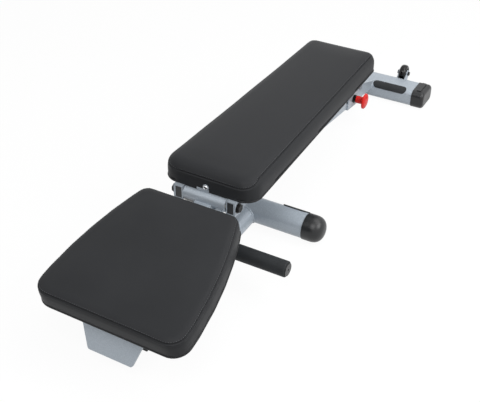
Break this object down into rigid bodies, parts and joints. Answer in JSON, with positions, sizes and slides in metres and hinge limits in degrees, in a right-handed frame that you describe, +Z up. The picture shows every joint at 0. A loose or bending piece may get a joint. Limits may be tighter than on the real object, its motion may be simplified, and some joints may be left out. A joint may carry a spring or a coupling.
{
  "type": "adjustable weight bench",
  "caption": "Low adjustable weight bench with a long tilting back pad on a sliding strut, a flared tilting seat, tubular feet, lifting grips and transport wheels.",
  "frame": {"origin": "middle of the bounding box at floor level", "axes": "+Z up, +Y along the bench to the rear foot, +X to the right of a person lying on it looking to the front foot"},
  "size_m": [0.506, 1.7508, 0.315],
  "materials": {
    "silver_paint": "satin silver-grey powder coat",
    "steel_hardware": "zinc-plated",
    "black_hardware": "black oxide, satin",
    "chrome": "polished",
    "black_plastic": "fine matt texture",
    "nylon": "natural nylon",
    "rubber": "matt",
    "red_plastic": "glossy",
    "board": "raw plywood",
    "vinyl": "charcoal vinyl-coated cloth over foam, fine grain"
  },
  "bodies": {
    "frame": {"floor_tube": "silver_paint", "floor_tube_plug": "black_plastic", "front_rubber_foot": "rubber", "front_leg": "silver_paint", "stop_rubber": "rubber", "upright": "silver_paint", "seat_hinge_pin": "steel_hardware", "seat_pin_housing": "black_hardware", "main_beam": "silver_paint", "hinge_tube": "silver_paint", "hinge_bolt": "black_hardware", "handle_bar": "silver_paint", "grip_right": "rubber", "grip_left": "rubber", "grip_plug_right": "black_plastic", "grip_plug_left": "black_plastic", "front_foot": "silver_paint", "front_cap_right": "black_plastic", "front_cap_left": "black_plastic", "front_tread_right": "rubber", "front_tread_left": "rubber", "rear_foot": "silver_paint", "rear_cap_right": "black_plastic", "rear_cap_left": "black_plastic", "rear_tread_right": "rubber", "rear_tread_left": "rubber", "wheel_axle_right": "black_hardware", "wheel_axle_left": "black_hardware"},
    "back": {"back_rail_right": "silver_paint", "back_rail_left": "silver_paint", "hinge_bush_right": "nylon", "hinge_bush_left": "nylon", "rail_plug_right": "black_plastic", "rail_plug_left": "black_plastic", "rail_end_right": "black_plastic", "rail_end_left": "black_plastic", "cross_plate_front": "silver_paint", "cross_plate_rear": "silver_paint", "clip_bolt": "chrome", "back_screws": "steel_hardware", "back_board": "board", "back_pad": "vinyl", "strut_pin": "steel_hardware", "strut_spacer_right": "nylon", "strut_spacer_left": "nylon"},
    "strut": {"strut": "silver_paint"},
    "carriage": {"carriage": "silver_paint", "carriage_pin": "steel_hardware", "back_pin_housing": "black_hardware"},
    "back_pull": {"back_pin": "steel_hardware", "back_knob": "red_plastic"},
    "seat": {"seat_bracket": "silver_paint", "seat_tube_plug": "black_plastic", "seat_board": "board", "seat_pad": "vinyl", "seat_screws": "steel_hardware"},
    "seat_pull": {"seat_pin": "steel_hardware", "seat_knob": "red_plastic"},
    "wheel_r": {"wheel_right": "black_plastic"},
    "wheel_l": {"wheel_left": "black_plastic"}
  },
  "joints": [
    {"name": "back_tilt", "type": "hinge", "parent": "frame", "child": "back", "pos_m": [0, -0.40457, 0.229], "axis": [1, 0, 0], "range_deg": [0, 65]},
    {"name": "strut_swing", "type": "hinge", "parent": "back", "child": "strut", "pos_m": [0, 0.08743, 0.229], "axis": [1, 0, 0], "range_deg": [-130, 0]},
    {"name": "carriage_swing", "type": "hinge", "parent": "strut", "child": "carriage", "pos_m": [0, 0.56682, 0.11832], "axis": [1, 0, 0], "range_deg": [0, 65]},
    {"name": "back_pin_pull", "type": "slide", "parent": "carriage", "child": "back_pull", "axis": [1, 0, 0], "range_m": [-0.004, 0.006]},
    {"name": "seat_tilt", "type": "hinge", "parent": "frame", "child": "seat", "pos_m": [0, -0.49957, 0.19644], "axis": [-1, 0, 0], "range_deg": [0, 10]},
    {"name": "seat_pin_pull", "type": "slide", "parent": "frame", "child": "seat_pull", "axis": [-1, 0, 0], "range_m": [-0.004, 0.006]},
    {"name": "wheel_right_spin", "type": "hinge", "parent": "frame", "child": "wheel_r", "pos_m": [0.1, 0.84543, 0.065], "axis": [1, 0, 0], "continuous": true},
    {"name": "wheel_left_spin", "type": "hinge", "parent": "frame", "child": "wheel_l", "pos_m": [-0.1, 0.84543, 0.065], "axis": [1, 0, 0], "continuous": true}
  ],
  "couplings": [
    {"joint": "strut_swing", "follows": "back_tilt", "ratio": -2},
    {"joint": "carriage_swing", "follows": "back_tilt", "ratio": 1}
  ]
}
